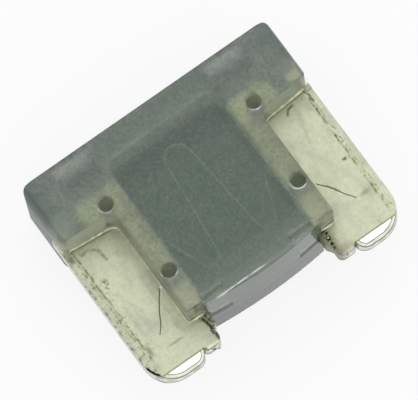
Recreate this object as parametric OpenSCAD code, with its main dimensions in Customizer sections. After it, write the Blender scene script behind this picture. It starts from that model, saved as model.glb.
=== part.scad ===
// Low-profile blade fuse, lying on its back: X across the blades, Y towards the head, Z through the thickness.
// The origin is under the middle of the part, on the face that it lies on. All sizes are in millimetres.

/* [Overall] */
// Width over the outer edges of the two blades
fuse_w = 10.9; // [10:0.1:13]
// Height from the top of the head to the blade tips
fuse_h = 8.73; // [8.3:0.01:10]
// Thickness of the moulded housing
fuse_t = 3.81; // [3.4:0.01:4.6]

/* [Housing head] */
// How far each blade's outer edge stands proud of the head's end
end_inset = 0.05; // [0:0.01:0.2]
// Height of the head's end, from its top face down to the shoulder
head_h = 2.52; // [2.3:0.01:2.9]
// How much lower the shoulder sits at the body than at the end
shoulder_drop = 0.17; // [0:0.01:0.3]
// Radius of the head's top corners, seen from the front
top_corner_r = 0.24; // [0.05:0.01:0.4]
// Radius of the shoulder's outer corner
shoulder_corner_r = 0.26; // [0.05:0.01:0.5]
// Radius of the inner corner between shoulder and body
shoulder_root_r = 0.3; // [0.05:0.01:0.45]
// Radius of the rounded upright edges at the head's ends
edge_r = 0.55; // [0.05:0.01:0.7]

/* [Housing body] */
// Width of the body between the blade windows
body_w = 6.4; // [6.1:0.01:6.8]
// Radius of the rounded edges of the body's sides
body_edge_r = 0.1; // [0.03:0.01:0.2]
// Distance from the top face to the end of the body's sides
body_drop = 7.24; // [6.8:0.01:7.4]
// Width of the belly that closes the foot between the blades
belly_w = 5.1; // [4.9:0.01:5.5]
// How far the belly's corners reach below the body's sides
belly_step = 0.12; // [0.02:0.01:0.3]
// How far the middle of the belly's arc hangs below its corners
belly_sag = 0.2; // [0.03:0.01:0.3]
// Chamfer along the front and back edge of the belly
belly_chamfer = 0.22; // [0.05:0.01:0.35]

/* [Chamber and slot] */
// Thickness of the front and back wall over the chamber
wall_t = 0.68; // [0.4:0.01:0.95]
// Width of the chamber around the fuse link
chamber_w = 4.84; // [4.6:0.01:5.1]
// Roof over the chamber and over the slot
roof_t = 0.8; // [0.5:0.01:0.95]
// Floor that closes the chamber at the foot
floor_t = 0.5; // [0.2:0.01:0.8]
// Radius of the chamber's upper corners
chamber_corner_r = 0.3; // [0.05:0.01:0.6]
// Width left closed between the two slit ends in the foot
slit_gap = 2.95; // [1.6:0.05:3.6]
// Height of those slits through the thickness
slit_t = 0.36; // [0.2:0.01:0.7]
// Width of the probe well over each blade
probe_w = 1.6; // [0.8:0.05:1.7]
// Opening of the probe well through the thickness
probe_t = 1.5; // [1.1:0.05:2]
// Thickness of the wall that closes each end of the slot above the prong
end_wall = 0.25; // [0.1:0.01:0.4]
// Clearance between the slot and each face of the blades
slot_clear = 0.04; // [0.02:0.01:0.08]

/* [Stakes] */
// Radius of each stake pit in the faces
pit_r = 0.28; // [0.2:0.01:0.3]
// Depth of each stake pit
pit_depth = 0.32; // [0.2:0.01:1.2]
// Width of the bevelled rim round each pit
pit_rim = 0.05; // [0.02:0.01:0.08]
// How far each upper stake sits inwards from the middle of its upright
upper_stake_in = 0.075; // [0:0.005:0.15]
// Distance from the top face to the upper stakes
upper_stake_drop = 2.28; // [2.05:0.01:2.3]
// Half the distance between the two lower stakes
lower_stake_x = 2.83; // [2.78:0.01:2.86]
// Distance from the top face to the lower stakes
lower_stake_drop = 5.61; // [4.9:0.01:6]
// Clearance between each stake and its hole in the blade
stake_clear = 0.04; // [0.02:0.01:0.06]

/* [Blades] */
// Thickness of the stamped strip
blade_t = 0.8; // [0.6:0.01:1]
// Distance between the two blades inside the housing
blade_gap = 4.84; // [4.6:0.01:5]
// Distance from the top face to the top of each blade
blade_top_drop = 1.45; // [1.3:0.01:1.6]
// Distance from the top face to the top of each outer prong
prong_top_drop = 1.86; // [1.6:0.01:2.1]
// Width of each outer prong
prong_w = 0.62; // [0.5:0.01:0.75]
// Width of the relief beside the prong
relief_w = 0.6; // [0.4:0.01:0.7]
// Distance from the top face to the bottom of the relief
relief_drop = 2.3; // [2.2:0.01:2.4]
// Radius of the blade's top outer corner
blade_corner_r = 0.4; // [0.05:0.01:0.5]

/* [Blade tips] */
// Radius of the tip's outer corner
tip_outer_r = 1.18; // [0.5:0.01:1.3]
// Radius of the tip's inner corner
tip_inner_r = 0.45; // [0.2:0.01:0.6]
// Width of each tip without its sheared tie stub
tip_w = 2.1; // [1.9:0.01:2.25]
// How far the tie stub stops short of the tip
stub_short = 0.26; // [0.15:0.01:0.35]
// Height of the tie stub's straight inner edge
stub_h = 0.45; // [0.3:0.01:0.55]
// Height over which the inner edge above it leans outwards
stub_rise = 0.25; // [0.1:0.01:0.4]
// How far the inner edge leans outwards there
stub_lean = 0.17; // [0.05:0.01:0.25]
// Radius of the tie stub's rounded corners
stub_r = 0.24; // [0.1:0.01:0.28]
// Height of the coined bevel on each tip
bevel_h = 0.35; // [0.2:0.01:0.6]
// Thickness left at the bevelled tip
tip_t = 0.45; // [0.15:0.01:0.55]
// Width of the coined strip along each outer edge
coin_w = 0.36; // [0.15:0.01:0.5]
// Depth of that coined strip at the edge
coin_depth = 0.07; // [0.02:0.01:0.12]

/* [Fuse link] */
// Width of the link
link_w = 0.13; // [0.1:0.01:0.26]
// Thickness of the link
link_t = 0.28; // [0.2:0.01:0.6]
// Radius of the link's arch
arch_r = 0.5; // [0.3:0.01:0.6]
// Distance from the top face to the crown of the arch
arch_drop = 1.51; // [1.2:0.01:2]
// Half the distance between the two lower bends
bend_x = 1.24; // [1.1:0.01:1.3]
// Distance from the top face to the centre of the lower bends
bend_drop = 5.68; // [5.4:0.01:5.9]
// Radius of the lower bends
bend_r = 0.36; // [0.28:0.01:0.4]
// Distance from the top face to where the link meets each blade
tab_drop = 4.3; // [3.8:0.01:4.7]
// Length of the tab that joins the link to the blade
tab_l = 0.26; // [0.15:0.01:0.35]
// Width of that tab
tab_w = 0.6; // [0.3:0.01:0.8]

/* [Hidden] */
$fn = 64;

top_y = fuse_h / 2;
tip_y = -fuse_h / 2;
mid_z = fuse_t / 2;
head_half = fuse_w / 2 - end_inset;
body_half = body_w / 2;
belly_half = belly_w / 2;
shoulder_y = top_y - head_h;
root_y = shoulder_y - shoulder_drop;
body_y = top_y - body_drop;
belly_y = body_y - belly_step;
belly_r = (belly_half * belly_half + belly_sag * belly_sag) / (2 * belly_sag);
belly_low_y = belly_y - belly_sag;
roof_y = top_y - roof_t;
floor_y = belly_y + floor_t;
slot_t = blade_t + 2 * slot_clear;
probe_x = blade_gap / 2 + 0.5 * (fuse_w / 2 - prong_w - relief_w - blade_gap / 2);
upper_stake_x = probe_x - upper_stake_in;
stakes = [[upper_stake_x, top_y - upper_stake_drop], [lower_stake_x, top_y - lower_stake_drop]];
blade_half = fuse_w / 2;
blade_in = blade_gap / 2;
blade_top_y = top_y - blade_top_drop;
prong_in = blade_half - prong_w;
relief_in = prong_in - relief_w;
relief_y = top_y - relief_drop;
tip_in = blade_half - tip_w;
stub_y = tip_y + stub_short;
stub_top_y = stub_y + stub_h + stub_rise;
stub_in = blade_in + stub_lean;
bend_y = top_y - bend_drop;
arch_y = top_y - arch_drop - arch_r;
tab_y = top_y - tab_drop;
past = 1; // how far a cutter runs past what it cuts
join = 0.02; // how far pieces of one solid run into each other

module both_sides() {
    children();
    mirror([1, 0, 0]) children();
}

module both_faces() {
    children();
    translate([0, 0, fuse_t]) mirror([0, 0, 1]) children();
}

// What a rounded corner of radius r leaves over; the corner points towards +X and +Y
module corner_waste(r) {
    difference() {
        translate([-r, -r]) square(r + past);
        translate([-r, -r]) circle(r);
        translate([-r - past, -2 * r - past]) square([past, 3 * r + 3 * past]);
        translate([-r - past, -r - past]) square([2 * r + 3 * past, past]);
    }
}

module rounded_bar(w, t, r) {
    difference() {
        translate([-w / 2, 0]) square([w, t]);
        for (sx = [0, 1], sy = [0, 1])
            translate([0, sy * t]) mirror([sx, 0]) mirror([0, 1 - sy]) translate([w / 2, 0]) corner_waste(r);
    }
}

// Bar of width w and the full thickness, with its long edges rounded, running along Y
module bar_along_y(w, r, y_from, y_to) {
    translate([0, y_to, 0]) rotate([90, 0, 0]) linear_extrude(y_to - y_from) rounded_bar(w, fuse_t, r);
}

module shoulder_cut() {
    run = head_half - body_half;
    lean = atan2(shoulder_drop, run);
    difference() {
        polygon([[body_half, root_y], [head_half + past, shoulder_y + past * tan(lean)],
            [head_half + past, tip_y], [body_half, tip_y]]);
        translate([body_half, root_y]) root_fillet(lean);
    }
    translate([head_half, shoulder_y]) mirror([0, 1]) corner_waste(shoulder_corner_r);
}

// Concave fillet in the corner between the body's side and the leaning shoulder
module root_fillet(lean) {
    r = shoulder_root_r;
    reach = r * tan(45 + lean / 2);
    difference() {
        polygon([[-join, join], [0, -reach], [reach * cos(lean), reach * sin(lean)]]);
        translate([r, -reach]) circle(r);
    }
}

module housing_outline() {
    difference() {
        translate([-head_half, body_y]) square([2 * head_half, body_drop]);
        both_sides() shoulder_cut();
        both_sides() translate([head_half, top_y]) corner_waste(top_corner_r);
    }
}

module belly() {
    intersection() {
        linear_extrude(fuse_t) intersection() {
            translate([-belly_half, belly_low_y]) square([2 * belly_half, belly_step + belly_sag + join]);
            translate([0, belly_low_y + belly_r]) circle(belly_r, $fn = 200);
        }
        belly_section();
    }
}

// Side profile of the belly: its long edges are chamfered
module belly_section() {
    translate([-fuse_w / 2, 0, 0]) rotate([90, 0, 90]) linear_extrude(fuse_w)
        polygon([[body_y + past, 0], [belly_low_y + belly_chamfer, 0], [belly_low_y, belly_chamfer],
            [belly_low_y, fuse_t - belly_chamfer], [belly_low_y + belly_chamfer, fuse_t], [body_y + past, fuse_t]]);
}

module chamber() {
    depth = roof_y - floor_y;
    translate([0, 0, wall_t]) linear_extrude(fuse_t - 2 * wall_t) difference() {
        translate([-chamber_w / 2, floor_y]) square([chamber_w, depth]);
        both_sides() translate([chamber_w / 2, roof_y]) corner_waste(chamber_corner_r);
    }
}

// Slot for the strip: under the roof, out through both ends beside the prongs, and down both sides of the body, with a slit on into the foot
module blade_slot() {
    slot_in = blade_in - slot_clear;
    slot_out = head_half - end_wall;
    prong_y = top_y - prong_top_drop + slot_clear;
    translate([0, 0, mid_z - slot_t / 2]) linear_extrude(slot_t) {
        both_sides() translate([slot_in, belly_low_y - past]) square([slot_out - slot_in, roof_y - belly_low_y + past]);
        both_sides() translate([slot_out - join, belly_low_y - past]) square([end_wall + join + past, prong_y - belly_low_y + past]);
        translate([-slot_out, floor_y]) square([2 * slot_out, roof_y - floor_y]);
    }
    translate([0, 0, mid_z - slit_t / 2]) linear_extrude(slit_t)
        both_sides() translate([slit_gap / 2, belly_low_y - past]) square([slot_in + join - slit_gap / 2, floor_y + join - belly_low_y + past]);
}

module probe_well() {
    translate([probe_x - probe_w / 2, roof_y - join, mid_z - probe_t / 2]) cube([probe_w, roof_t + past, probe_t]);
}

module stake_pit() {
    translate([0, 0, -past]) cylinder(r = pit_r, h = pit_depth + past);
    translate([0, 0, -pit_rim]) cylinder(r1 = pit_r + 2 * pit_rim, r2 = pit_r, h = 2 * pit_rim);
}

module stake(r) {
    translate([0, 0, mid_z - slot_t / 2 - join]) cylinder(r = r, h = slot_t + 2 * join);
}

module housing() {
    color([0.47, 0.52, 0.48, 0.8]) {
        difference() {
            union() {
                intersection() {
                    linear_extrude(fuse_t) housing_outline();
                    union() {
                        bar_along_y(2 * head_half, edge_r, root_y - 1.5 * shoulder_root_r, top_y);
                        bar_along_y(body_w, body_edge_r, body_y, root_y);
                    }
                }
                belly();
            }
            chamber();
            blade_slot();
            both_sides() probe_well();
            both_faces() both_sides() for (p = stakes) translate([p[0], p[1], 0]) stake_pit();
        }
        both_sides() for (p = stakes) translate([p[0], p[1], 0]) stake(pit_r);
    }
}

// The contact blade up to its top, with the relief that frees the outer prong
module blade_shank() {
    difference() {
        translate([blade_in, stub_y]) square([blade_half - blade_in, blade_top_y - stub_y]);
        translate([prong_in - join, top_y - prong_top_drop]) square([prong_w + past, past]);
        translate([relief_in, relief_y + relief_w / 2]) square([relief_w, head_h]);
        translate([relief_in + relief_w / 2, relief_y + relief_w / 2]) circle(relief_w / 2);
        translate([relief_in, blade_top_y]) corner_waste(blade_corner_r);
        translate([tip_in, stub_y - past]) square([tip_w + past, past + tip_outer_r]);
        translate([tip_in, stub_y]) mirror([0, 1]) corner_waste(stub_r);
        translate([stub_in, stub_y]) mirror([1, 0]) mirror([0, 1]) corner_waste(stub_r);
        polygon([[blade_in - past, stub_y - past], [blade_in - past, stub_top_y], [blade_in, stub_top_y],
            [stub_in, stub_y + stub_h], [stub_in, stub_y - past]]);
    }
}

module blade_tip() {
    difference() {
        translate([tip_in, tip_y]) square([tip_w, stub_short + tip_outer_r + join]);
        translate([blade_half, tip_y]) mirror([0, 1]) corner_waste(tip_outer_r);
        translate([tip_in, tip_y]) mirror([1, 0]) mirror([0, 1]) corner_waste(tip_inner_r);
    }
}

// Wedge that leaves a bevel on one face of the tip
module tip_bevel() {
    rise = (blade_t - tip_t) / 2;
    rotate([90, 0, 90]) linear_extrude(blade_half + past)
        polygon([[tip_y + bevel_h, mid_z + blade_t / 2], [tip_y, mid_z + blade_t / 2 - rise],
            [tip_y - past, mid_z + blade_t / 2 - rise], [tip_y - past, mid_z + blade_t], [tip_y + bevel_h, mid_z + blade_t]]);
}

// Wedge that coins one face along the blade's outer edge
module edge_coin() {
    translate([0, shoulder_y - shoulder_drop, 0]) rotate([90, 0, 0]) linear_extrude(fuse_h)
        polygon([[blade_half - coin_w, mid_z + blade_t / 2], [blade_half, mid_z + blade_t / 2 - coin_depth],
            [blade_half + past, mid_z + blade_t / 2 - coin_depth], [blade_half + past, mid_z + blade_t], [blade_half - coin_w, mid_z + blade_t]]);
}

module blade() {
    difference() {
        translate([0, 0, mid_z - blade_t / 2]) linear_extrude(blade_t) {
            blade_shank();
            blade_tip();
        }
        both_faces() {
            tip_bevel();
            edge_coin();
        }
        for (p = stakes) translate([p[0], p[1], mid_z - blade_t]) cylinder(r = pit_r + stake_clear, h = 2 * blade_t);
    }
}

// Straight strip of the link from one point to another
module link_leg(from, to) {
    d = to - from;
    translate(from) rotate(atan2(d[1], d[0])) translate([-join, -link_w / 2]) square([norm(d) + 2 * join, link_w]);
}

// Part of a ring of radius r between two angles less than half a turn apart
module link_arc(r, a_from, a_to) {
    far = 3 * r;
    mid = (a_from + a_to) / 2;
    intersection() {
        difference() {
            circle(r + link_w / 2);
            circle(r - link_w / 2);
        }
        polygon([[0, 0], [far * cos(a_from), far * sin(a_from)], [far * cos(mid), far * sin(mid)], [far * cos(a_to), far * sin(a_to)]]);
    }
}

// Angles at which the leg that is tangent to the arch and the bend, and the leg to the tab, touch the circles
leg_run = [bend_x, bend_y - arch_y];
leg_turn = atan2(-leg_run[1], leg_run[0]);
leg_tangent = 90 - leg_turn + acos((arch_r + bend_r) / norm(leg_run)) - 90;
arch_end = [arch_r * cos(leg_tangent), arch_r * sin(leg_tangent)];
tab_end = [blade_in - tab_l, tab_y];
tab_run = tab_end - [bend_x, bend_y];
tab_tangent = atan2(tab_run[1], tab_run[0]) - acos(bend_r / norm(tab_run));
bend_out = [bend_x + bend_r * cos(tab_tangent), bend_y + bend_r * sin(tab_tangent)];
bend_in = [bend_x - bend_r * cos(leg_tangent), bend_y - bend_r * sin(leg_tangent)];

module link_outline() {
    translate([0, arch_y]) {
        link_arc(arch_r, leg_tangent, 91);
    }
    link_leg([arch_end[0], arch_y + arch_end[1]], bend_in);
    translate([bend_x, bend_y]) {
        link_arc(bend_r, 180 + leg_tangent, 271);
        link_arc(bend_r, 269, 360 + tab_tangent);
    }
    link_leg(bend_out, tab_end);
}

module link_tab() {
    polygon([[blade_in + join, tab_y - tab_w / 2], [blade_in + join, tab_y + tab_w / 2], [blade_in - tab_l, tab_y + link_w / 2],
        [blade_in - tab_l - link_w / 2, tab_y - link_w / 2]]);
}

module fuse_element() {
    color([0.80, 0.81, 0.69]) {
        both_sides() blade();
        both_sides() translate([0, 0, mid_z - link_t / 2]) linear_extrude(link_t) {
            link_outline();
            link_tab();
        }
    }
}

housing();
fuse_element();
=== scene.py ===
import math

import bpy
import numpy as np
from mathutils import Matrix, Vector


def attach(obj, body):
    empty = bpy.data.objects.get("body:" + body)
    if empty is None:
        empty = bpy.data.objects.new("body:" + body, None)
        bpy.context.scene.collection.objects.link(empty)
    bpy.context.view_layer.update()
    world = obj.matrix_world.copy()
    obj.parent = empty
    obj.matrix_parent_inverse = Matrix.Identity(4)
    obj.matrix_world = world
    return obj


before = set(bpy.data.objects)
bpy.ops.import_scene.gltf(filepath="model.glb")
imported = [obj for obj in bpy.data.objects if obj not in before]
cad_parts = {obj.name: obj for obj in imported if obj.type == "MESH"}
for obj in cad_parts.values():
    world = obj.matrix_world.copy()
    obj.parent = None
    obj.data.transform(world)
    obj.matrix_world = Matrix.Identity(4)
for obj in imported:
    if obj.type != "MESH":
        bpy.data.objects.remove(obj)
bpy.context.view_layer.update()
mm = 0.001
scene = bpy.context.scene
print("frame loaded:", sorted(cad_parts))

# Where things are on the fuse, in millimetres: X across the blades, Y towards the head, Z through the thickness
place = {
    "topY": 4.365, "tipY": -4.365,                    # head's top face, blade tips
    "midZ": 1.905, "faceZ": 2.305,                    # middle of the thickness, front face of the strip
    "chamberHalf": 2.42, "roofY": 3.565, "floorY": -2.495,
    "bodyHalf": 3.2, "footY": -2.875,
    "bladeTopY": 2.915, "prongTopY": 2.505,
    "prongIn": 4.83, "reliefIn": 4.23,                # inner edges of the prong and of the relief beside it
    "stakes": ((3.25, 2.085), (2.83, -1.245)), "pitR": 0.28,
}


class Tree:
    # Builds one material; every method returns the output socket of a new node, and all lengths are in millimetres
    def __init__(self, name):
        self.mat = bpy.data.materials.new(name)
        self.mat.use_nodes = True
        self.nodes = self.mat.node_tree.nodes
        self.links = self.mat.node_tree.links
        self.nodes.clear()
        self.out = self.nodes.new("ShaderNodeOutputMaterial")
        coord = self.nodes.new("ShaderNodeTexCoord")
        self.p = self.vec("SCALE", coord.outputs["Object"], 1000.0)
        self.x, self.y, self.z = self.split(self.p)
        self.ax = self.math("ABSOLUTE", self.x)
        self.nx, self.ny, self.nz = self.split(coord.outputs["Normal"])

    def put(self, socket, value):
        if hasattr(value, "is_linked"):
            self.links.new(value, socket)
        elif value is not None:
            socket.default_value = value

    def split(self, vector):
        n = self.nodes.new("ShaderNodeSeparateXYZ")
        self.links.new(vector, n.inputs[0])
        return n.outputs[0], n.outputs[1], n.outputs[2]

    def math(self, op, a, b=None, c=None, clamp=False):
        n = self.nodes.new("ShaderNodeMath")
        n.operation = op
        n.use_clamp = clamp
        for i, v in enumerate((a, b, c)):
            if v is not None:
                self.put(n.inputs[i], v)
        return n.outputs[0]

    def vec(self, op, a, b=None):
        n = self.nodes.new("ShaderNodeVectorMath")
        n.operation = op
        self.put(n.inputs[0], a)
        if op == "SCALE":
            self.put(n.inputs["Scale"], b)
        elif b is not None:
            self.put(n.inputs[1], b)
        return n.outputs["Value"] if op in ("LENGTH", "DOT_PRODUCT") else n.outputs[0]

    def add(self, a, b):
        return self.math("ADD", a, b)

    def less(self, a, b):
        return self.math("SUBTRACT", a, b)

    def times(self, *values):
        out = values[0]
        for v in values[1:]:
            out = self.math("MULTIPLY", out, v)
        return out

    def most(self, *values):
        out = values[0]
        for v in values[1:]:
            out = self.math("MAXIMUM", out, v)
        return out

    def invert(self, mask):
        return self.less(1.0, mask)

    def ramp(self, value, low, high, a=0.0, b=1.0):
        # eases from a, at low, to b, at high
        n = self.nodes.new("ShaderNodeMapRange")
        n.interpolation_type = "SMOOTHSTEP"
        for name, v in (("Value", value), ("From Min", low), ("From Max", high), ("To Min", a), ("To Max", b)):
            self.put(n.inputs[name], v)
        return n.outputs[0]

    def band(self, value, low, high, soft):
        # 1 between low and high, falling to 0 over soft on both sides
        return self.times(self.ramp(value, low - soft, low), self.ramp(value, high, high + soft, 1.0, 0.0))

    def flatFrom(self, x, y, at=None):
        # vector from a point to the place, seen from the front
        return self.vec("MULTIPLY", self.vec("SUBTRACT", at or self.p, (x, y, 0.0)), (1.0, 1.0, 0.0))

    def blob(self, x, y, rx, ry, soft=0.5, at=None):
        # soft-edged ellipse, 1 inside
        d = self.vec("SUBTRACT", at or self.p, (x, y, 0.0))
        r = self.vec("LENGTH", self.vec("MULTIPLY", d, (1.0 / rx, 1.0 / ry, 0.0)))
        return self.ramp(r, 1.0 - soft, 1.0 + soft, 1.0, 0.0)

    def stroke(self, points, width, soft=0.5, at=None):
        # line of the given width through the points, 1 along its middle
        out = None
        flat = self.vec("MULTIPLY", at or self.p, (1.0, 1.0, 0.0))
        for (ax, ay), (bx, by) in zip(points, points[1:]):
            ex, ey = bx - ax, by - ay
            pa = self.vec("SUBTRACT", flat, (ax, ay, 0.0))
            k = 1.0 / (ex * ex + ey * ey)
            h = self.math("ADD", self.vec("DOT_PRODUCT", pa, (ex * k, ey * k, 0.0)), 0.0, clamp=True)
            r = self.vec("LENGTH", self.vec("SUBTRACT", pa, self.vec("SCALE", (ex, ey, 0.0), h)))
            m = self.ramp(r, width * 0.5 * (1.0 - soft), width * 0.5 * (1.0 + soft), 1.0, 0.0)
            out = m if out is None else self.most(out, m)
        return out

    def inside(self, side, cx, cy, radius):
        # distance in from an edge that turns round a corner of the given centre; side -1 for a blade's inner corner
        folded = self.vec("MULTIPLY", self.vec("ABSOLUTE", self.p), (side, 1.0, 0.0))
        past = self.vec("MAXIMUM", self.vec("SUBTRACT", folded, (side * cx, cy, 0.0)), (0.0, 0.0, 0.0))
        return self.less(radius, self.vec("LENGTH", past))

    def noise(self, scale, detail=3.0, rough=0.55, stretch=None, warp=0.0, shift=0.0):
        n = self.nodes.new("ShaderNodeTexNoise")
        at = self.p if stretch is None else self.vec("MULTIPLY", self.p, stretch)
        if shift:
            at = self.vec("ADD", at, (shift, shift * 0.7, -shift))
        self.links.new(at, n.inputs["Vector"])
        n.inputs["Scale"].default_value = scale
        n.inputs["Detail"].default_value = detail
        n.inputs["Roughness"].default_value = rough
        n.inputs["Distortion"].default_value = warp
        return n.outputs["Fac"]

    def wobble(self, scale, amount):
        # the place, pushed about by a noise, for ragged edges
        n = self.nodes.new("ShaderNodeTexNoise")
        self.links.new(self.p, n.inputs["Vector"])
        n.inputs["Scale"].default_value = scale
        n.inputs["Detail"].default_value = 2.0
        push = self.vec("SCALE", self.vec("SUBTRACT", n.outputs["Color"], (0.5, 0.5, 0.5)), amount)
        return self.vec("ADD", self.p, push)

    def cells(self, scale, random=1.0):
        n = self.nodes.new("ShaderNodeTexVoronoi")
        self.links.new(self.p, n.inputs["Vector"])
        n.inputs["Scale"].default_value = scale
        n.inputs["Randomness"].default_value = random
        return n.outputs["Distance"]

    def mix(self, fac, a, b):
        n = self.nodes.new("ShaderNodeMix")
        n.data_type = "RGBA"
        self.put(n.inputs[0], fac)
        self.put(n.inputs[6], a)
        self.put(n.inputs[7], b)
        return n.outputs[2]

    def bump(self, height, strength, distance, normal=None):
        n = self.nodes.new("ShaderNodeBump")
        self.put(n.inputs["Height"], height)
        n.inputs["Strength"].default_value = strength
        n.inputs["Distance"].default_value = distance * mm
        if normal is not None:
            self.put(n.inputs["Normal"], normal)
        return n.outputs[0]

    def softEdges(self, radius, samples=4):
        n = self.nodes.new("ShaderNodeBevel")
        n.samples = samples
        n.inputs["Radius"].default_value = radius * mm
        return n.outputs[0]

    def surface(self, **sockets):
        n = self.nodes.new("ShaderNodeBsdfPrincipled")
        for name, v in sockets.items():
            self.put(n.inputs[name.replace("_", " ")], v)
        self.links.new(n.outputs[0], self.out.inputs["Surface"])


def rgb(r, g, b):
    # screen colour from 0 to 255, made linear
    def lin(v):
        v /= 255.0
        return v / 12.92 if v <= 0.04045 else ((v + 0.055) / 1.055) ** 2.4
    return (lin(r), lin(g), lin(b), 1.0)


smoky = {
    # outer faces: over the head and the blades, over the middle, and over the chamber; then the same on the back;
    # painted light and shade, paler where metal lies behind and darker over the chamber and on the back
    "head": rgb(244, 248, 238), "middle": rgb(218, 226, 212), "chamber": rgb(204, 215, 202),
    "headBack": rgb(54, 67, 58), "middleBack": rgb(70, 82, 74), "chamberBack": rgb(96, 109, 96),
    # faces inside the housing; overMetal is painted light over the metal, and well is painted shade in the probe wells
    "inner": rgb(206, 214, 200), "overMetal": rgb(255, 250, 222), "well": rgb(72, 84, 75),
    # outer walls, painted darker than the faces as shade
    "belly": rgb(136, 150, 138), "wall": rgb(184, 184, 156), "wallEnd": rgb(208, 202, 178), "end": rgb(156, 170, 162),
    # drifts of colour and grain on the front
    "bluish": rgb(184, 206, 210), "green": rgb(184, 206, 190), "olive": rgb(216, 208, 164),
    "grain": rgb(150, 166, 152), "teal": rgb(146, 182, 178), "mottle": rgb(146, 178, 172),
    # painted light, as paler spots on both sides, over the metal: x, y, half width, half height, strength
    "pale": rgb(250, 254, 240), "paleSpots": ((2.87, -2.35, 0.36, 0.7, 0.45), (5.1, 2.35, 0.45, 0.42, 0.85)),
    # pale specks on the head, and edge: the painted highlight on the belly's front edge
    "speck": rgb(245, 250, 245), "edge": rgb(250, 252, 246),
    # stake pits, painted darker as the shade in them, and the side on which their rims carry a painted highlight
    "pit": rgb(122, 133, 114), "pitWall": rgb(160, 170, 152), "pitRim": rgb(244, 248, 238), "rimSide": (-0.45, -0.9, 0.0),
    # how much light passes, the roughness and its share left where the plastic is clear, and the smoke in its depth
    "through": 0.87, "rough": 0.37, "clear": 0.32, "ior": 1.49, "fog": (0.42, 0.5, 0.44, 1.0), "fogDensity": 150.0,
}


def frostedTintLightAndShade(t, grain, middle, inChamber):
    # painted light and shade: faces of the front half are pale over the head and blades, darker over the chamber, and
    # drift in colour;
    # those of the back half are darker, a painted shade for the light lost under the housing and on its way back
    # through the smoke
    fine = t.noise(12.0, 2.0, 0.7, shift=5.1)
    cloud = t.noise(1.3, 2.0, 0.5)
    cloudB = t.noise(2.6, 3.0, 0.6, shift=7.3)
    isFront = t.ramp(t.z, 1.85, 1.95)
    front = t.mix(middle, smoky["head"], smoky["middle"])
    front = t.mix(inChamber, front, smoky["chamber"])
    back = t.mix(middle, smoky["headBack"], smoky["middleBack"])
    back = t.mix(inChamber, back, smoky["chamberBack"])
    drifts = (
        (t.times(t.ramp(t.ax, 4.3, 5.2), t.ramp(t.y, 2.4, 3.0, 0.1, 0.5)), "bluish"),
        (t.ramp(cloud, 0.5, 0.66, 0.0, 0.4), "green"),
        (t.ramp(cloudB, 0.54, 0.68, 0.0, 0.45), "olive"),
        (t.ramp(cloudB, 0.3, 0.46, 0.4, 0.0), "bluish"),
        (t.ramp(grain, 0.36, 0.62, 0.55, 0.0), "grain"),
        (t.ramp(fine, 0.3, 0.5, 0.65, 0.0), "teal"),
        (t.ramp(fine, 0.54, 0.68, 0.0, 0.5), "olive"),
        (t.times(inChamber, t.ramp(fine, 0.34, 0.6, 0.6, 0.0)), "mottle"),
    )
    for mask, color in drifts:
        front = t.mix(mask, front, smoky[color])
    # painted light: paler at the foot of the body, over the blades, and at the shoulders, where the metal behind throws
    # light back
    pale = t.most(*(t.times(t.blob(sx * x, y, rx, ry, 0.7), much)
                    for sx in (-1, 1) for x, y, rx, ry, much in smoky["paleSpots"]))
    front = t.mix(t.times(pale, t.ramp(grain, 0.3, 0.6, 0.7, 1.0)), front, smoky["pale"])
    base = t.mix(isFront, back, front)
    # pale specks on the frosted head
    speck = t.times(t.ramp(t.cells(5.5), 0.06, 0.13, 1.0, 0.0), t.ramp(t.noise(3.0, shift=3.1), 0.46, 0.58),
                    t.ramp(t.y, 1.2, 2.6), isFront)
    return t.mix(t.times(speck, 0.4), base, smoky["speck"])


def insideFaces(t, base, level, upright):
    # faces of the slot, with painted light over the metal, then painted shade in the probe wells and painted light on
    # the slits in the belly
    inner = t.times(t.ramp(level, 0.47, 0.5, 1.0, 0.0), t.ramp(t.ax, 5.3, 5.36, 1.0, 0.0),
                    t.band(t.y, place["footY"] + 0.06, place["topY"] - 0.06, 0.03))
    prong = t.times(t.ramp(t.ax, place["prongIn"] - 0.1, place["prongIn"] + 0.1),
                    t.ramp(t.y, place["prongTopY"] - 0.2, place["prongTopY"], 1.0, 0.0))
    strip = t.times(t.band(t.ax, place["chamberHalf"] + 0.05, place["reliefIn"] - 0.1, 0.1),
                    t.ramp(t.y, place["bladeTopY"] - 0.2, place["bladeTopY"], 1.0, 0.0))
    well = t.times(t.band(t.ax, 2.45, 4.2, 0.04), t.band(t.y, place["roofY"] - 0.06, place["topY"] - 0.06, 0.03),
                   t.band(t.z, 1.1, 2.7, 0.03))
    slit = t.times(t.ramp(level, 0.2, 0.22, 1.0, 0.0), t.ramp(t.y, -2.85, -2.9), t.invert(upright))
    base = t.mix(inner, base, smoky["inner"])
    base = t.mix(t.times(inner, t.most(prong, strip)), base, smoky["overMetal"])
    base = t.mix(well, base, smoky["well"])
    return t.mix(slit, base, smoky["inner"]), inner


def outerWalls(t, base, grain, upright, end):
    # painted shade: the belly's wall, the walls beside and over the blades, and the head's ends are darker than the
    # faces, by the way they face
    base = t.mix(t.times(upright, t.ramp(t.y, -2.95, -3.0)), base, smoky["belly"])
    beside = t.times(t.ramp(t.ax, place["bodyHalf"] - 0.06, place["bodyHalf"] - 0.03), t.ramp(t.y, 1.95, 2.0, 1.0, 0.0))
    below = t.ramp(t.y, place["footY"] + 0.01, place["footY"] + 0.03, 1.0, 0.0)
    wall = t.times(t.most(beside, below), t.ramp(t.math("ABSOLUTE", t.nz), 0.2, 0.95, 1.0, 0.0),
                   t.ramp(t.ax, 2.5, 2.56), t.ramp(t.z, 0.3, 0.6))
    tint = t.mix(t.ramp(t.ax, 4.4, 4.9), smoky["wall"], smoky["wallEnd"])
    base = t.mix(t.times(wall, t.ramp(grain, 0.35, 0.6, 0.45, 0.8)), base, tint)
    return t.mix(t.times(end, t.ramp(t.y, 2.4, 2.9, 0.0, 0.75)), base, smoky["end"])


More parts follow.
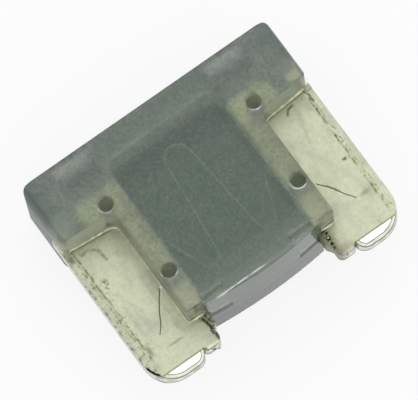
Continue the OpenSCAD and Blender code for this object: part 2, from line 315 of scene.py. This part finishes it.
def stakePits(t, base, level, upright):
    # painted shade and highlight: dark discs, each with a bright crescent along its rim on one side
    radius = place["pitR"]
    nearest = crescents = None
    for sx in (-1, 1):
        for x, y in place["stakes"]:
            away = t.flatFrom(sx * x, y)
            r = t.vec("LENGTH", away)
            nearest = r if nearest is None else t.math("MINIMUM", nearest, r)
            ring = t.times(t.band(r, radius + 0.02, radius + 0.05, 0.04),
                           t.ramp(t.vec("DOT_PRODUCT", away, smoky["rimSide"]), -0.05, 0.25))
            crescents = ring if crescents is None else t.most(crescents, ring)
    outside = t.ramp(level, 1.2, 1.4)
    pit = t.times(t.ramp(nearest, radius - 0.03, radius + 0.02, 1.0, 0.0), outside)
    rim = t.times(crescents, t.ramp(t.noise(2.4, shift=1.7), 0.4, 0.58), outside)
    base = t.mix(t.times(rim, 0.85), base, smoky["pitRim"])
    return t.mix(pit, base, t.mix(upright, smoky["pit"], smoky["pitWall"])), rim


def smokyPlastic():
    t = Tree("smokyPlastic")
    half = place["chamberHalf"]
    grain = t.noise(8.0, 3.0, 0.7)
    depth = t.less(t.z, place["midZ"])
    level = t.math("ABSOLUTE", depth)
    upright = t.ramp(t.math("ABSOLUTE", t.nz), 0.3, 0.8, 1.0, 0.0)
    end = t.ramp(t.ax, 5.1, 5.3)
    middle = t.ramp(t.ax, half - 0.1, half + 0.12, 1.0, 0.0)
    inChamber = t.times(middle, t.band(t.y, place["floorY"] + 0.9, place["roofY"] - 1.1, 0.9))
    base = frostedTintLightAndShade(t, grain, middle, inChamber)
    base, inner = insideFaces(t, base, level, upright)
    base = outerWalls(t, base, grain, upright, end)
    base, rim = stakePits(t, base, level, upright)
    # painted highlight along the front edge of the belly
    beam = t.times(t.band(t.y, -3.1, -3.075, 0.02), t.band(t.x, -2.0, -0.2, 0.6), t.ramp(t.z, 3.5, 3.55),
                   t.ramp(t.noise(2.3, stretch=(1.0, 4.0, 4.0), shift=2.2), 0.3, 0.5, 0.4, 1.0))
    base = t.mix(t.times(beam, 0.8), base, smoky["edge"])
    # light passes less at the painted highlights on the belly's edge and the pit rims, and the window over the chamber
    # and the belly are smoother
    passes = t.add(t.times(t.most(t.times(inChamber, 0.5), inner), 0.04), smoky["through"])
    through = t.less(passes, t.add(t.times(beam, 0.5), t.times(rim, 0.7)))
    clear = t.ramp(t.most(inChamber, t.ramp(t.y, -2.5, -2.9)), 0.0, 1.0, 1.0, smoky["clear"])
    rough = t.times(t.ramp(grain, 0.25, 0.75, smoky["rough"] - 0.05, smoky["rough"] + 0.08), clear)
    # the head's ends are slightly pillowed
    pillow = t.times(t.math("POWER", depth, 2.0), upright, end, -0.12)
    normal = t.bump(t.times(grain, clear), 0.3, 0.015, t.bump(pillow, 1.0, 1.0, t.softEdges(0.2)))
    t.surface(Base_Color=base, Roughness=rough, Transmission_Weight=through, IOR=smoky["ior"], Normal=normal)
    fog = t.nodes.new("ShaderNodeVolumeAbsorption")
    fog.inputs["Color"].default_value = smoky["fog"]
    fog.inputs["Density"].default_value = smoky["fogDensity"]
    t.links.new(fog.outputs[0], t.out.inputs["Volume"])
    return t.mat


tin = {
    # faces, bevels and sheared walls of the strip
    "clean": rgb(218, 221, 190), "dull": rgb(194, 196, 168), "grey": rgb(186, 187, 172), "covered": rgb(255, 252, 234),
    "bright": rgb(250, 250, 244), "bevel": rgb(228, 228, 220), "wall": rgb(150, 150, 132), "line": rgb(78, 78, 54),
    "rough": 0.42, "bevelRough": 0.36,                # the second is a share of the first
    # the link's faces and the painted highlight on its edges
    "link": rgb(146, 152, 126), "linkHighlight": rgb(255, 246, 216),
    # shade, dirt and torn metal
    "olive": rgb(118, 122, 72), "dirt": rgb(52, 52, 34), "rust": rgb(74, 56, 40), "torn": rgb(84, 84, 66),
    "shade": rgb(112, 110, 76), "warm": rgb(150, 132, 114), "bruise": rgb(30, 30, 24),
    # the tips: height of the bevel, then the centre and radius of the outer and of the inner corner
    "bevelH": 0.35, "outerCorner": (4.27, 3.185, 1.18), "innerCorner": (3.8, 3.915, 0.45),
    "bruiseAt": (-5.33, -3.66, 0.3, 0.34, 0.3),       # each place so named: x, y, half width, half height, softness
    # all marks below are seen on the front face only; first the scores from the stakes
    "scoreLeft": ((-3.33, -1.24), (-3.55, -1.53), (-3.82, -1.92), (-4.07, -2.38), (-4.30, -2.64)),
    "scoreRight": ((3.47, -1.38), (3.83, -1.81), (4.08, -2.27), (4.34, -2.63)),
    "scratch": ((3.72, -1.66), (3.96, -2.05)),
    "gleam": ((-3.28, -1.3), (-3.42, -1.5)), "gleamAt": (-3.27, -1.22, 0.05, 0.05, 0.5),
    "hookLeft": ((-4.92, 1.42), (-4.6, 1.44), (-4.30, 1.25), (-4.24, 0.8)),
    "hookRight": ((4.48, 1.55), (4.28, 1.50), (4.14, 1.34)),
    "creaseRight": ((5.12, 1.72), (5.2, 1.5), (5.2, 1.2)),
    "grimeAt": (-4.79, -0.02, 0.15, 0.3, 0.8), "dotAt": (-4.8, 0.1, 0.04, 0.04, 0.6),
    # smudges: x, y, half width, half height, softness, strength
    "smudges": ((-5.3, 1.5, 0.09, 0.16, 0.8, 0.6), (4.85, -1.2, 0.09, 0.06, 0.7, 0.75), (-4.0, -3.19, 0.3, 0.05, 0.8, 0.4),
                (-4.96, -2.9, 0.08, 0.22, 0.8, 0.5), (4.72, -2.65, 0.2, 0.08, 0.9, 0.3)),
    # the stubs: torn edge of the left one, and dark pinholes along the right one as x, y, radius
    "ragged": ((-2.78, -2.95), (-2.70, -3.21), (-2.64, -3.45), (-2.70, -3.68), (-2.66, -3.95)),
    "pinholes": ((2.70, -3.07, 0.05), (2.63, -3.51, 0.055), (2.61, -3.7, 0.05), (2.62, -2.93, 0.08), (2.64, -3.27, 0.085)),
    "warmAt": (2.9, -3.95, 0.36, 0.22, 0.7), "glintAt": (2.65, -3.26, 0.035, 0.035, 0.4),
}


def bareFaces(t, m):
    # smeared, patchy tin
    patch = t.noise(1.1, 2.0, 0.5, shift=4.7)
    base = t.mix(t.ramp(m["smear"], 0.46, 0.72, 0.0, 0.5), tin["clean"], tin["dull"])
    base = t.mix(t.times(t.ramp(patch, 0.48, 0.66), t.ramp(m["smear"], 0.36, 0.66), 0.5), base, tin["grey"])
    base = t.mix(t.ramp(m["mottle"], 0.42, 0.68, 0.0, 0.34), base, tin["grey"])
    return t.mix(t.ramp(m["fine"], 0.46, 0.7, 0.0, 0.5), base, tin["dull"])


def shadeAndDirt(t, m, base):
    # painted shade: darker, olive where the shoulder, the body's side and its foot keep the light off
    lean = t.add(t.times(t.ax, 0.077), 1.34)          # height of the shoulder's line along the blade
    below = t.less(lean, t.y)
    under = t.times(t.most(t.band(below, -0.08, 0.0, 0.12), t.times(t.band(below, -0.08, 0.1, 0.22), 0.2)),
                    t.ramp(t.ax, 5.0, 5.3, 1.0, 0.4))
    beside = t.times(t.band(t.ax, 3.0, 3.32, 0.22), m["left"], t.ramp(t.y, -2.7, -1.3))
    foot = t.times(t.blob(0.0, -3.0, 2.9, 0.12, 0.6), 0.7)
    base = t.mix(t.most(t.times(under, 0.68), t.times(beside, 0.08), t.times(foot, 0.5)), base, tin["olive"])
    # a broken dark line beside the coined strip, which is greyer
    shaken = t.split(t.vec("ABSOLUTE", t.wobble(2.6, 0.12)))[0]
    coinAt = t.less(shaken, t.add(t.times(t.y, 0.012), 5.1))
    breaks = t.ramp(t.noise(3.0, 4.0, 0.7, shift=6.1), 0.42, 0.6)
    coinLine = t.times(t.band(coinAt, -0.02, 0.02, 0.05), t.add(t.times(breaks, 0.82), 0.12), t.ramp(t.y, -3.9, -3.3))
    coinLineB = t.times(t.band(coinAt, 0.1, 0.12, 0.04), t.ramp(m["bits"], 0.4, 0.6), t.ramp(t.y, -3.6, -3.1))
    base = t.mix(t.times(t.most(t.times(coinLine, 0.8), t.times(coinLineB, 0.6)), m["front"]), base, tin["olive"])
    base = t.mix(t.times(t.ramp(t.ax, 5.2, 5.4), m["front"], t.ramp(m["mottle"], 0.35, 0.6), 0.5), base, tin["grey"])
    # paler where the housing covers it, more so towards the body's foot
    inBody = t.times(t.ramp(t.ax, 3.12, 3.18, 1.0, 0.0), t.ramp(t.y, -1.2, -2.2, 0.12, 0.85), t.ramp(t.y, -2.86, -2.84))
    inHead = t.times(t.ramp(below, -0.2, -0.1, 1.0, 0.0), t.ramp(t.ax, 4.3, 4.8, 0.0, 1.0))
    covered = t.most(inBody, inHead)
    base = t.mix(covered, base, tin["covered"])
    # specks on the left blade, dots along the coined strip, hooks and smudges
    specks = t.times(t.ramp(m["bits"], 0.54, 0.68), m["left"], t.ramp(t.ax, 4.3, 5.2), t.invert(covered))
    edgeDirt = t.times(t.ramp(t.ax, 5.36, 5.42), t.ramp(m["bits"], 0.5, 0.6), m["left"])
    dots = t.times(t.band(coinAt, -0.05, 0.2, 0.03), t.ramp(m["bits"], 0.58, 0.66), t.ramp(t.y, 1.5, 1.2), 0.6)
    marks = [
        t.times(t.stroke(tin["hookLeft"], 0.1, 0.9, m["ragged"]), t.ramp(m["bits"], 0.36, 0.56, 0.15, 0.45)),
        t.times(t.stroke(tin["hookRight"], 0.08, 0.9, m["ragged"]), 0.7),
        t.times(t.stroke(tin["creaseRight"], 0.07, 0.8, m["ragged"]), 0.7),
        t.times(t.blob(*tin["grimeAt"], m["jagged"]), t.ramp(m["bits"], 0.5, 0.62), 0.7),
        t.times(t.blob(*tin["dotAt"], m["jagged"]), 0.6),
    ]
    marks += [t.times(t.blob(x, y, rx, ry, soft, m["ragged"]), much) for x, y, rx, ry, soft, much in tin["smudges"]]
    dirt = t.most(dots, t.times(specks, 0.45), t.times(edgeDirt, 0.7), t.most(*marks))
    return t.mix(t.times(dirt, m["front"]), base, tin["dirt"])


def scores(t, m, base):
    smooth = t.wobble(5.0, 0.03)
    score = t.most(t.stroke(tin["scoreLeft"], 0.036, 0.7, smooth), t.stroke(tin["scoreRight"], 0.036, 0.7, smooth),
                   t.times(t.stroke(tin["scratch"], 0.07, 0.6, m["ragged"]), 0.8))
    base = t.mix(t.times(score, m["front"], 0.8), base, tin["dirt"])
    gleam = t.most(t.blob(*tin["gleamAt"]), t.times(t.stroke(tin["gleam"], 0.03, 0.7, smooth), 0.6))
    return t.mix(t.times(gleam, m["front"]), base, tin["bright"]), score


def tornStubs(t, m, base):
    # left stub: dark torn edge with rust; right stub: shaded cut, pinholes and one glint
    jaggedX = t.split(m["jagged"])[0]
    torn = t.times(t.ramp(jaggedX, -2.74, -2.68), t.times(m["left"], t.ramp(t.y, -2.9, -3.0), m["front"]))
    base = t.mix(t.times(torn, 0.85), base, t.mix(t.ramp(m["bits"], 0.42, 0.58), tin["torn"], tin["dull"]))
    shear = t.times(t.stroke(tin["ragged"], 0.12, 0.8, m["jagged"]), t.ramp(t.noise(9.0, 3.0, 0.7, shift=1.3), 0.34, 0.5))
    base = t.mix(t.times(shear, m["front"], 0.92), base, tin["rust"])
    cut = t.times(t.ramp(jaggedX, 2.6, 3.0, 1.0, 0.0), t.invert(m["left"]), t.ramp(t.y, -2.8, -2.95))
    base = t.mix(t.times(cut, t.ramp(m["bits"], 0.35, 0.6, 0.5, 0.9)), base, tin["shade"])
    base = t.mix(t.times(t.blob(*tin["warmAt"]), 0.5), base, tin["warm"])
    holes = t.most(*(t.blob(x, y, r, r, 0.5, m["ragged"]) for x, y, r in tin["pinholes"]))
    base = t.mix(t.times(holes, m["front"]), base, tin["dirt"])
    glint = t.blob(*tin["glintAt"])
    return t.mix(t.times(glint, m["front"]), base, tin["bright"]), shear, cut, holes


def tips(t, m, base, bevelTop):
    # black bruise on the left tip's outer corner
    cx, cy, radius = tin["outerCorner"]
    r = t.vec("LENGTH", t.flatFrom(-cx, -cy, m["ragged"]))
    bruise = t.times(t.ramp(r, radius - 0.1, radius - 0.05), t.blob(*tin["bruiseAt"]))
    base = t.mix(bruise, base, tin["bruise"])
    # thin dark line, then the mirror-bright bevel with a dull border between two lines
    tipLine = t.times(t.band(t.y, bevelTop + 0.03, bevelTop + 0.06, 0.025), t.ramp(t.ax, 3.25, 3.35))
    base = t.mix(t.times(tipLine, 0.6), base, tin["olive"])
    onBevel = t.times(t.ramp(t.y, bevelTop, bevelTop + 0.02, 1.0, 0.0), t.ramp(t.nz, 0.6, 0.8), t.ramp(t.ax, 3.2, 3.25))
    deep = t.math("MINIMUM", t.inside(1.0, *tin["outerCorner"]), t.inside(-1.0, *tin["innerCorner"]))
    bevel = t.times(onBevel, t.ramp(deep, 0.12, 0.15))
    base = t.mix(onBevel, base, t.mix(t.most(bevel, t.ramp(m["bits"], 0.4, 0.6)), tin["clean"], tin["bevel"]))
    innerLine = t.times(t.band(deep, 0.12, 0.135, 0.02), t.ramp(m["bits"], 0.3, 0.5, 0.5, 1.0))
    outerLine = t.ramp(deep, 0.0, 0.035, 1.0, 0.0)
    return t.mix(t.times(onBevel, t.most(innerLine, outerLine), 0.9), base, tin["line"]), bevel


def shearedWalls(t, base, link, cut, bevelTop):
    # streaks along the edge, and a dark line where the wall meets a face
    wall = t.ramp(t.math("ABSOLUTE", t.nz), 0.3, 0.5, 1.0, 0.0)
    streak = t.noise(3.2, 3.0, 0.6, stretch=(1.0, 1.0, 4.5))
    edge = t.math("ABSOLUTE", t.less(t.z, place["midZ"]))
    streaks = t.times(t.ramp(streak, 0.38, 0.62, 0.25, 1.0), t.ramp(edge, 0.1, 0.2, 1.0, 0.6))
    # painted highlight: the link's walls are painted bright all over
    base = t.mix(wall, base, t.mix(t.most(streaks, link), tin["wall"], tin["bright"]))
    base = t.mix(t.times(wall, cut, 0.7), base, tin["shade"])
    lowest = t.ramp(t.y, place["tipY"], bevelTop, 0.225, 0.4)
    outline = t.times(wall, t.ramp(t.less(lowest, edge), 0.02, 0.08, 1.0, 0.0), t.invert(link), t.ramp(t.y, 1.4, 1.0))
    return t.mix(t.times(outline, 0.9), base, tin["line"])


def tinnedZinc():
    t = Tree("tinnedZinc")
    # masks, noises and shaken places that several layers share
    m = {
        "front": t.ramp(t.z, 2.0, 2.1), "left": t.ramp(t.x, -0.1, 0.1, 1.0, 0.0),
        "fine": t.noise(14.0, 4.0, 0.65), "smear": t.noise(1.5, 4.0, 0.62, stretch=(1.0, 0.4, 1.0), warp=0.8),
        "bits": t.noise(6.5, 4.0, 0.7, shift=9.1), "mottle": t.noise(5.5, 3.0, 0.7, shift=2.9),
        "ragged": t.wobble(7.0, 0.09), "jagged": t.wobble(13.0, 0.16),
    }
    bevelTop = place["tipY"] + tin["bevelH"]
    base = bareFaces(t, m)
    base = shadeAndDirt(t, m, base)
    base, score = scores(t, m, base)
    base, shear, cut, holes = tornStubs(t, m, base)
    base, bevel = tips(t, m, base, bevelTop)
    # painted highlight: the link is dull on its faces, and its edges are painted bright on the sides facing +X and +Y,
    # as if lit
    link = t.ramp(t.ax, 2.25, 2.4, 1.0, 0.0)
    turned = t.split(t.softEdges(0.07, 6))
    lit = t.ramp(t.add(t.times(turned[0], 0.85), t.times(turned[1], 0.5)), -0.08, 0.2)
    base = t.mix(link, base, t.mix(lit, tin["link"], tin["linkHighlight"]))
    base = shearedWalls(t, base, link, cut, bevelTop)
    rough = t.times(t.ramp(m["smear"], 0.3, 0.7, tin["rough"] - 0.06, tin["rough"] + 0.1),
                    t.ramp(bevel, 0.0, 1.0, 1.0, tin["bevelRough"]))
    height = t.less(t.times(m["fine"], 0.25), t.times(t.most(score, shear, holes), m["front"]))
    t.surface(Base_Color=base, Metallic=1.0, Roughness=rough, Normal=t.bump(height, 0.5, 0.03))
    return t.mat


for node, mat in (("housing", smokyPlastic()), ("fuse_element", tinnedZinc())):
    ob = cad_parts[node]
    ob.data.materials.clear()
    ob.data.materials.append(mat)
print("materials set")


# Painted highlight: a fine bright bead where the housing closes on the blades, standing in for the light gathered along
# that line
contactHighlight = {
    "color": rgb(242, 242, 212), "color2": rgb(200, 202, 168), "rough": 0.35,
    "out": 0.03, "lift": 0.02, "sides": 10, "flat": 0.9,
    # from the head's end, along the shoulder, round its root, down the body's side and under it to the belly
    "path": ((5.16, 1.842), (4.9, 1.815), (4.4, 1.765), (3.9, 1.726), (3.6, 1.70), (3.46, 1.675), (3.32, 1.60),
             (3.23, 1.50), (3.205, 1.36), (3.2, 1.1), (3.2, 0.2), (3.2, -0.9), (3.2, -1.9), (3.2, -2.7),
             (3.195, -2.85), (3.16, -2.875), (3.0, -2.878), (2.58, -2.878)),
    # distance along the path, and the radius there
    "radius": ((0.0, 0.034), (0.15, 0.055), (0.6, 0.05), (1.5, 0.046), (2.0, 0.03), (2.5, 0.012), (5.6, 0.011),
               (6.2, 0.026), (6.4, 0.048), (6.8, 0.044), (7.2, 0.02)),
}


def contactHighlightMaterial():
    t = Tree("contactHighlightBead")
    patches = t.noise(3.0, 3.0, 0.6)
    base = t.mix(t.ramp(patches, 0.4, 0.6), contactHighlight["color"], contactHighlight["color2"])
    t.surface(Base_Color=base, Roughness=contactHighlight["rough"], IOR=smoky["ior"], Normal=t.bump(patches, 0.3, 0.01))
    return t.mat


def smoothPath(points, step):
    # points spaced evenly by arc length along the straight runs, then averaged with their neighbours
    p = np.array(points, float)
    s = np.concatenate(([0.0], np.cumsum(np.linalg.norm(np.diff(p, axis=0), axis=1))))
    at = np.linspace(0.0, s[-1], max(8, int(s[-1] / step)))
    q = np.stack([np.interp(at, s, p[:, i]) for i in range(p.shape[1])], axis=1)
    for _ in range(2):
        q[1:-1] = 0.25 * q[:-2] + 0.5 * q[1:-1] + 0.25 * q[2:]
    return q, at


def tube(center, radius, sides, squash=1.0):
    # ring k, angle a: center[k] + radius[k] * (cos a * side + sin a * squash * up), closed by a point at each end
    tangent = np.gradient(center, axis=0)
    tangent /= np.linalg.norm(tangent, axis=1)[:, None]
    up = np.array([0.0, 0.0, 1.0]) - tangent * tangent[:, 2:3]
    up /= np.linalg.norm(up, axis=1)[:, None]
    side = np.cross(tangent, up)
    a = np.linspace(0.0, 2 * math.pi, sides, endpoint=False)
    ring = np.cos(a)[None, :, None] * side[:, None, :] + squash * np.sin(a)[None, :, None] * up[:, None, :]
    verts = (center[:, None, :] + radius[:, None, None] * ring).reshape(-1, 3)
    n = len(center)
    k, j = np.meshgrid(np.arange(n - 1), np.arange(sides), indexing="ij")
    j2 = (j + 1) % sides
    quads = np.stack([k * sides + j, (k + 1) * sides + j, (k + 1) * sides + j2, k * sides + j2], axis=-1)
    faces = quads.reshape(-1, 4).tolist()
    verts = np.vstack([verts, center[:1], center[-1:]])
    first, last = n * sides, n * sides + 1
    faces += [[first, j, (j + 1) % sides] for j in range(sides)]
    faces += [[last, (n - 1) * sides + (j + 1) % sides, (n - 1) * sides + j] for j in range(sides)]
    return verts, faces


def addPiece(name, shells, material):
    # one object from several closed shells, given in millimetres
    verts, faces, count = [], [], 0
    for v, f in shells:
        verts.append(v)
        faces += [[i + count for i in face] for face in f]
        count += len(v)
    mesh = bpy.data.meshes.new(name)
    mesh.from_pydata((np.vstack(verts) * mm).tolist(), [], faces)
    mesh.polygons.foreach_set("use_smooth", [True] * len(mesh.polygons))
    mesh.materials.append(material)
    mesh.update()
    piece = bpy.data.objects.new(name, mesh)
    scene.collection.objects.link(piece)
    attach(piece, "root")


def contactHighlightLines():
    shells = []
    path, along = smoothPath(contactHighlight["path"], 0.05)
    # the line stands a little proud of the wall, on the blade's side
    heading = np.gradient(path, axis=0)
    heading /= np.linalg.norm(heading, axis=1)[:, None]
    path = path + contactHighlight["out"] * np.column_stack([-heading[:, 1], heading[:, 0]])
    radiusAt, radii = zip(*contactHighlight["radius"])
    radius = np.interp(along, radiusAt, radii)
    for sx in (-1.0, 1.0):
        for up, z in ((1.0, place["faceZ"]), (-1.0, 2 * place["midZ"] - place["faceZ"])):
            center = np.column_stack([sx * path[:, 0], path[:, 1], np.full(len(path), z) + up * contactHighlight["lift"]])
            # two of the four run the other way, so that every shell faces outwards
            turn = slice(None, None, -1) if sx * up > 0 else slice(None)
            shells.append(tube(center[turn], radius[turn], contactHighlight["sides"], contactHighlight["flat"]))
    addPiece("contact_highlight_bead", shells, contactHighlightMaterial())


contactHighlightLines()
print("moulding flash set")


# Slivers and flakes that the shears left on the tie stubs: the path of each and its half width along it
burrs = {
    "dark": rgb(84, 80, 56), "bright": rgb(240, 240, 230), "rough": 0.3, "sides": 9, "flat": 0.55,
    "uneven": 0.22, "waves": (41.0, 17.0),             # share of the radius, and radians per mm of the two waves
    "slivers": (
        (((-3.24, -4.07, 2.12), (-3.12, -4.125, 2.06), (-2.99, -4.17, 2.03), (-2.88, -4.23, 2.02),
          (-2.79, -4.255, 2.05), (-2.74, -4.22, 2.11)), (0.03, 0.034, 0.032, 0.028, 0.02, 0.006)),
        (((-2.96, -4.05, 2.24), (-2.93, -4.13, 2.2), (-2.92, -4.19, 2.1)), (0.035, 0.026, 0.008)),
        (((-2.66, -3.50, 1.98), (-2.56, -3.55, 1.92), (-2.48, -3.56, 1.88)), (0.06, 0.04, 0.006)),
        (((-2.68, -3.27, 1.96), (-2.58, -3.31, 1.9), (-2.51, -3.36, 1.84)), (0.07, 0.04, 0.006)),
        (((2.66, -3.44, 1.95), (2.54, -3.46, 1.88), (2.46, -3.41, 1.8)), (0.06, 0.04, 0.006)),
        (((2.66, -3.24, 1.92), (2.55, -3.22, 1.86), (2.47, -3.19, 1.82)), (0.05, 0.035, 0.006)),
        (((3.0, -4.04, 2.26), (2.93, -4.12, 2.22), (2.84, -4.17, 2.12)), (0.03, 0.03, 0.008)),
    ),
}


def burrMetal():
    t = Tree("shearedBurr")
    patches = t.noise(9.0, 3.0, 0.6, shift=3.3)
    base = t.mix(t.ramp(patches, 0.42, 0.56), burrs["dark"], burrs["bright"])
    t.surface(Base_Color=base, Metallic=1.0, Roughness=burrs["rough"], Normal=t.bump(patches, 0.4, 0.012))
    return t.mat


def shearBurrs():
    shells = []
    quick, slow = burrs["waves"]
    for points, width in burrs["slivers"]:
        path, along = smoothPath(points, 0.02)
        radius = np.interp(along, np.linspace(0.0, along[-1], len(width)), width)
        # uneven, as torn metal is: two waves that beat, set off by where the sliver starts
        startX, startY, _ = points[0]
        radius *= 1.0 + burrs["uneven"] * np.sin(quick * along + 7.0 * startX) * np.sin(slow * along + startY)
        shells.append(tube(path, radius, burrs["sides"], burrs["flat"]))
    addPiece("shear_burrs", shells, burrMetal())


shearBurrs()
print("shear burrs set")


room = {
    "floorHalf": 0.6, "floorZ": -2e-5, "floorColor": (0.9, 0.9, 0.9, 1.0),
    "glow": 0.85,                                     # the rest keeps the object's soft shadow
    "worldColor": (0.96, 0.98, 1.0, 1.0), "worldStrength": 0.9, "aim": (0.0, 0.0, 0.0019),
    # lamps: direction from the fuse to the lamp, distance, width, height, power
    "lamps": {
        "overheadBox": ((0.5, 0.9, 1.0), 0.35, 0.22, 0.22, 0.12),
        "footBox": ((0.12, -0.61, 0.78), 0.3, 0.09, 0.05, 0.032),
        "lowBox": ((0.12, -0.96, 0.26), 0.3, 0.04, 0.01, 0.005),
    },
}


def paleFloor():
    # white where it is seen straight, in a reflection or through the plastic, and plain diffuse otherwise
    s, z = room["floorHalf"], room["floorZ"]
    mesh = bpy.data.meshes.new("floor")
    mesh.from_pydata([(-s, -s, z), (s, -s, z), (s, s, z), (-s, s, z)], [], [(0, 1, 2, 3)])
    floor = bpy.data.objects.new("floor", mesh)
    scene.collection.objects.link(floor)
    mat = bpy.data.materials.new("paleFloor")
    mat.use_nodes = True
    nodes, links = mat.node_tree.nodes, mat.node_tree.links
    nodes.clear()
    out = nodes.new("ShaderNodeOutputMaterial")
    diffuse = nodes.new("ShaderNodeBsdfDiffuse")
    diffuse.inputs["Color"].default_value = room["floorColor"]
    glow = nodes.new("ShaderNodeEmission")
    glow.inputs["Color"].default_value = (1.0, 1.0, 1.0, 1.0)
    ray = nodes.new("ShaderNodeLightPath")
    seen = ray.outputs["Is Camera Ray"]
    for kind in ("Is Glossy Ray", "Is Transmission Ray"):
        either = nodes.new("ShaderNodeMath")
        either.operation = "MAXIMUM"
        links.new(seen, either.inputs[0])
        links.new(ray.outputs[kind], either.inputs[1])
        seen = either.outputs[0]
    keep = nodes.new("ShaderNodeMath")
    keep.operation = "MULTIPLY"
    keep.inputs[1].default_value = room["glow"]
    mix = nodes.new("ShaderNodeMixShader")
    links.new(seen, keep.inputs[0])
    links.new(keep.outputs[0], mix.inputs[0])
    links.new(diffuse.outputs[0], mix.inputs[1])
    links.new(glow.outputs[0], mix.inputs[2])
    links.new(mix.outputs[0], out.inputs["Surface"])
    mesh.materials.append(mat)


def softBox(name, toward, distance, width, height, power):
    data = bpy.data.lights.new(name, "AREA")
    data.shape = "RECTANGLE"
    data.size, data.size_y = width, height
    data.energy = power
    lamp = bpy.data.objects.new(name, data)
    scene.collection.objects.link(lamp)
    d = Vector(toward).normalized()
    lamp.location = Vector(room["aim"]) + d * distance
    lamp.rotation_euler = d.to_track_quat("Z", "Y").to_euler()


def studioLight():
    world = bpy.data.worlds.new("paleRoom")
    scene.world = world
    world.use_nodes = True
    back = world.node_tree.nodes["Background"]
    back.inputs["Color"].default_value = room["worldColor"]
    back.inputs["Strength"].default_value = room["worldStrength"]
    for name, values in room["lamps"].items():
        softBox(name, *values)


view = {
    # how far the view leans from straight above, towards -X and towards the blades; roll turns the head to the upper left
    "az": 6.98, "el": 14.86, "roll": -36.61,
    "pxPerMm": 27.779, "distance": 250.0, "target": (0.0, 0.0, 1.9),
    "frame": (418, 400), "centre": (216.1, 212.2),    # the picture, and where the target stands in it
    "sensor": 36.0,
}


def photoCamera():
    az, el, roll = (math.radians(view[k]) for k in ("az", "el", "roll"))
    (cx, cy), (width, height) = view["centre"], view["frame"]
    d = np.array([-math.sin(az) * math.cos(el), -math.sin(el), math.cos(az) * math.cos(el)])
    up0 = np.array([0.0, 1.0, 0.0]) - d * d[1]
    up0 /= np.linalg.norm(up0)
    right0 = np.cross(up0, d)
    right = math.cos(roll) * right0 + math.sin(roll) * up0
    up = -math.sin(roll) * right0 + math.cos(roll) * up0
    eye = np.array(view["target"]) + d * view["distance"]
    eye = eye - right * (cx - width / 2) / view["pxPerMm"] + up * (cy - height / 2) / view["pxPerMm"]
    data = bpy.data.cameras.new("photoCamera")
    data.sensor_fit = "HORIZONTAL"
    data.sensor_width = view["sensor"]
    data.lens = view["pxPerMm"] * view["distance"] * view["sensor"] / width
    data.clip_start, data.clip_end = 0.02, 5.0
    cam = bpy.data.objects.new("photoCamera", data)
    scene.collection.objects.link(cam)
    cam.matrix_world = Matrix([
        [right[0], up[0], d[0], eye[0] * mm],
        [right[1], up[1], d[1], eye[1] * mm],
        [right[2], up[2], d[2], eye[2] * mm],
        [0, 0, 0, 1],
    ])
    scene.camera = cam


paleFloor()
studioLight()
photoCamera()
scene.view_settings.view_transform = "Standard"
print("floor, light and camera set")
